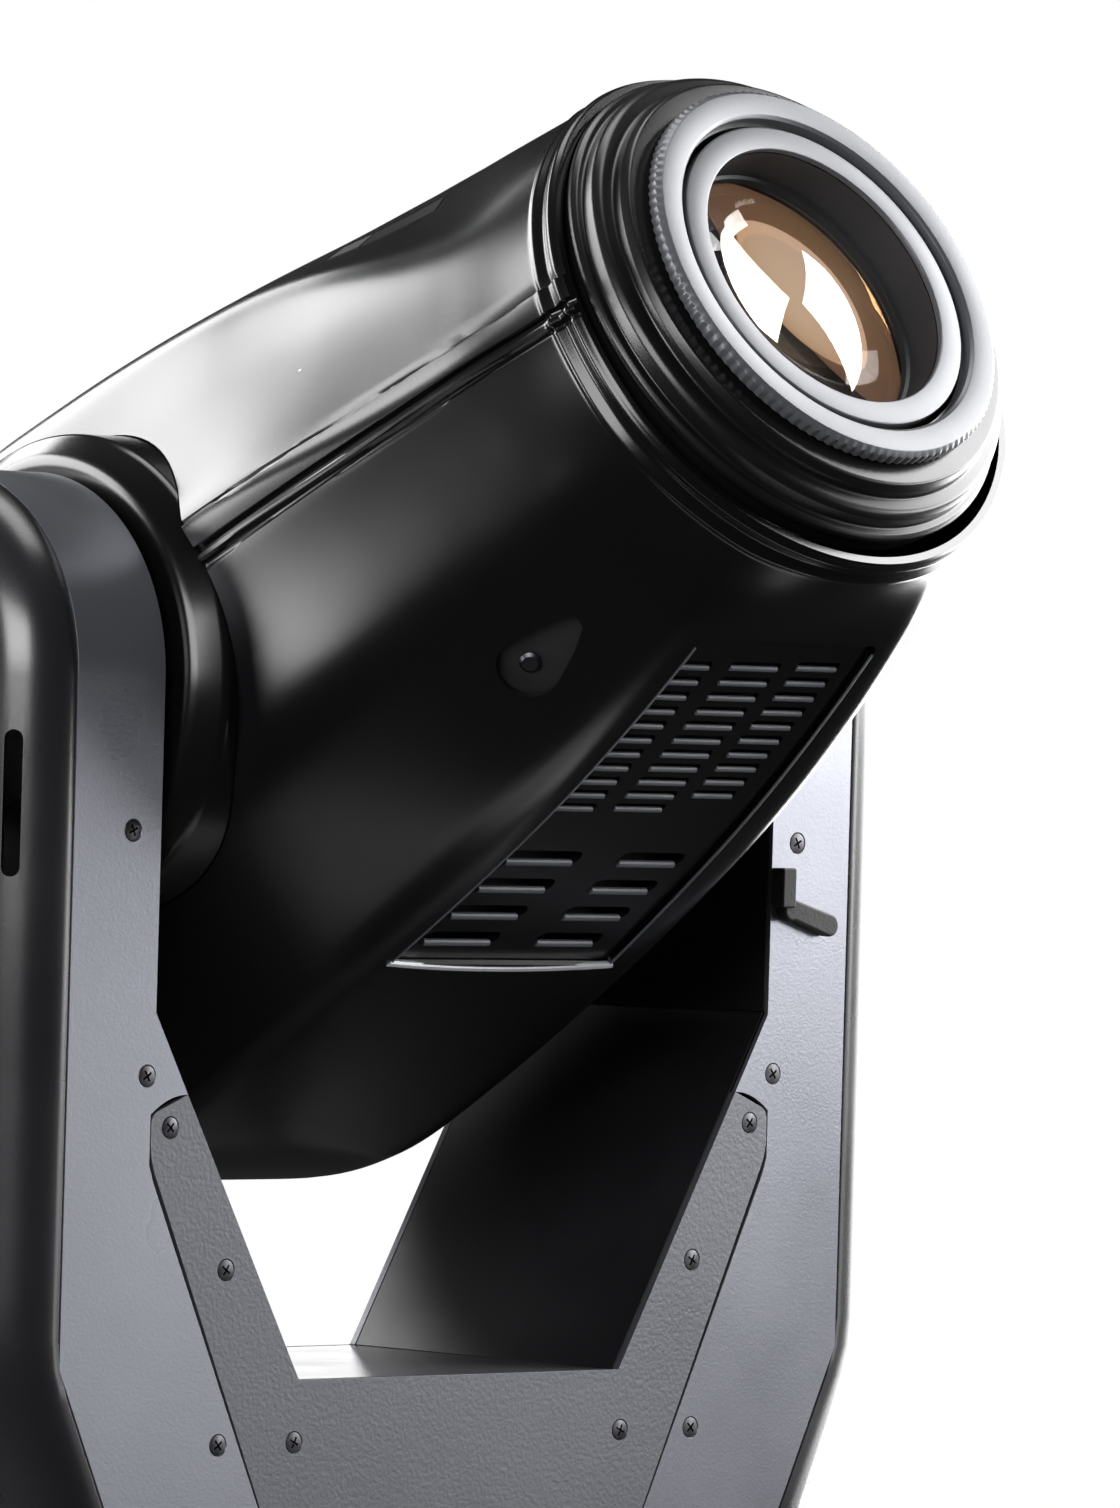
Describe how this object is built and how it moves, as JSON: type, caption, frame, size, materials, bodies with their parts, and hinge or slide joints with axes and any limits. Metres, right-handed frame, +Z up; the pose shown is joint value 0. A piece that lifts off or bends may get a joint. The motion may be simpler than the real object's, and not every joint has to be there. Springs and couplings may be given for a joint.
{
  "type": "moving head light",
  "caption": "Moving head stage light: box base, forked pan yoke and a long tilting spot head with zoom lens, trim ring and vented underside.",
  "frame": {"origin": "centre of the bracket face under the base plate, on the pan axis; the rubber feet reach 12 mm below it", "axes": "+Z up along the pan axis, +X across the yoke along the tilt axis, -Y towards the front, where the head points"},
  "size_m": [0.4886, 0.5409, 0.7787],
  "materials": {
    "black_plastic": "moulded satin black plastic",
    "black_sheet": "black painted sheet steel",
    "grey_paint": "satin grey paint with a soft sheen",
    "gusset_grey": "fine-textured dark grey paint",
    "light_trim": "light silver-grey paint",
    "steel": "machined steel",
    "aluminium": "machined aluminium",
    "glass": "coated optical glass",
    "rubber": "matt black rubber",
    "display_blue": "dark control panel"
  },
  "bodies": {
    "base": {"base_plate": "black_sheet", "base_housing": "black_plastic", "foot_1": "rubber", "foot_2": "rubber", "foot_3": "rubber", "foot_4": "rubber", "carry_handle_left": "rubber", "carry_handle_right": "rubber", "rear_panel": "black_sheet", "power_inlet": "black_plastic", "data_socket_in": "steel", "data_socket_out": "steel", "display_panel": "display_blue", "pan_bearing": "steel", "pan_motor": "black_sheet", "pan_belt": "rubber"},
    "yoke": {"gusset_plate_front": "gusset_grey", "gusset_plate_rear": "gusset_grey", "arm_plate_left": "grey_paint", "arm_plate_right": "grey_paint", "inner_panel_left": "black_sheet", "inner_panel_right": "black_sheet", "outer_cover_left": "black_plastic", "outer_cover_right": "black_plastic", "beam_top": "black_sheet", "yoke_floor": "aluminium", "pan_shaft": "aluminium", "tilt_bearing_left": "steel", "tilt_bearing_right": "steel", "tilt_motor": "black_sheet", "tilt_belt": "rubber"},
    "head": {"head_cover_upper": "black_plastic", "head_cover_lower": "black_plastic", "nose_ring": "black_plastic", "trim_ring": "light_trim", "front_lens": "glass", "vent_panel": "black_plastic", "rear_cap": "black_plastic", "pivot_boss_left": "black_plastic", "pivot_boss_right": "black_plastic", "tilt_hub_left": "aluminium", "tilt_hub_right": "aluminium", "head_chassis": "aluminium", "lamp_module": "aluminium"},
    "pan_pulley": {"pan_motor_pulley": "aluminium"},
    "tilt_pulley": {"tilt_motor_pulley": "aluminium"},
    "tilt_lock": {"tilt_lock_lever": "black_plastic"},
    "colour_wheel": {"colour_wheel": "glass"},
    "gobo_wheel": {"gobo_wheel": "steel"},
    "dimmer_left": {"dimmer_blade_left": "black_sheet"},
    "dimmer_right": {"dimmer_blade_right": "black_sheet"},
    "zoom": {"zoom_carriage": "aluminium"},
    "focus": {"focus_carriage": "aluminium"},
    "head_fan": {"head_fan": "black_plastic"},
    "base_fan": {"base_fan": "black_plastic"},
    "power_switch": {"power_switch": "black_plastic"},
    "button_1": {"menu_button_1": "rubber"},
    "button_2": {"menu_button_2": "rubber"},
    "button_3": {"menu_button_3": "rubber"},
    "button_4": {"menu_button_4": "rubber"}
  },
  "joints": [
    {"name": "pan", "type": "hinge", "parent": "base", "child": "yoke", "pos_m": [0, 0, 0.15], "axis": [0, 0, 1], "range_deg": [-270, 270]},
    {"name": "pan_pulley_spin", "type": "hinge", "parent": "base", "child": "pan_pulley", "pos_m": [-0.125, 0, 0.11], "axis": [0, 0, 1], "range_deg": [-1720, 1720]},
    {"name": "tilt", "type": "hinge", "parent": "yoke", "child": "head", "pos_m": [0, 0, 0.53], "axis": [1, 0, 0], "range_deg": [-188.67, 71.33]},
    {"name": "tilt_pulley_spin", "type": "hinge", "parent": "yoke", "child": "tilt_pulley", "pos_m": [-0.19, 0, 0.345], "axis": [1, 0, 0], "range_deg": [-944, 357]},
    {"name": "tilt_lock_swing", "type": "hinge", "parent": "yoke", "child": "tilt_lock", "pos_m": [0.17, -0.0785, 0.446], "axis": [0, 1, 0], "range_deg": [0, 80]},
    {"name": "colour_wheel_spin", "type": "hinge", "parent": "head", "child": "colour_wheel", "pos_m": [0, 0.06834, 0.54225], "axis": [0, -0.8542, 0.52], "continuous": true},
    {"name": "gobo_wheel_spin", "type": "hinge", "parent": "head", "child": "gobo_wheel", "pos_m": [0, 0.00171, 0.47511], "axis": [0, -0.8542, 0.52], "continuous": true},
    {"name": "dimmer_left_swing", "type": "hinge", "parent": "head", "child": "dimmer_left", "pos_m": [-0.072, 0.00982, 0.52402], "axis": [0, -0.8542, 0.52], "range_deg": [-60, 0]},
    {"name": "dimmer_right_swing", "type": "hinge", "parent": "head", "child": "dimmer_right", "pos_m": [0.072, 0.00555, 0.52662], "axis": [0, -0.8542, 0.52], "range_deg": [0, 60]},
    {"name": "zoom_slide", "type": "slide", "parent": "head", "child": "zoom", "axis": [0, -0.8542, 0.52], "range_m": [-0.035, 0.045]},
    {"name": "focus_slide", "type": "slide", "parent": "head", "child": "focus", "axis": [0, -0.8542, 0.52], "range_m": [-0.015, 0.035]},
    {"name": "head_fan_spin", "type": "hinge", "parent": "head", "child": "head_fan", "pos_m": [0, 0.16913, 0.42705], "axis": [0, -0.8542, 0.52], "continuous": true},
    {"name": "base_fan_spin", "type": "hinge", "parent": "base", "child": "base_fan", "pos_m": [0.125, 0.02, 0.04], "axis": [0, 0, 1], "continuous": true},
    {"name": "power_switch_rock", "type": "hinge", "parent": "base", "child": "power_switch", "pos_m": [0.02, 0.1945, 0.07], "axis": [1, 0, 0], "range_deg": [0, 8]},
    {"name": "button_1_press", "type": "slide", "parent": "base", "child": "button_1", "axis": [0, 1, 0], "range_m": [0, 0.0012], "stiffness_N_per_m": 300},
    {"name": "button_2_press", "type": "slide", "parent": "base", "child": "button_2", "axis": [0, 1, 0], "range_m": [0, 0.0012], "stiffness_N_per_m": 300},
    {"name": "button_3_press", "type": "slide", "parent": "base", "child": "button_3", "axis": [0, 1, 0], "range_m": [0, 0.0012], "stiffness_N_per_m": 300},
    {"name": "button_4_press", "type": "slide", "parent": "base", "child": "button_4", "axis": [0, 1, 0], "range_m": [0, 0.0012], "stiffness_N_per_m": 300}
  ],
  "couplings": [
    {"joint": "pan_pulley_spin", "follows": "pan", "ratio": 6.3636},
    {"joint": "tilt_pulley_spin", "follows": "tilt", "ratio": 5},
    {"joint": "dimmer_right_swing", "follows": "dimmer_left_swing", "ratio": -1}
  ]
}
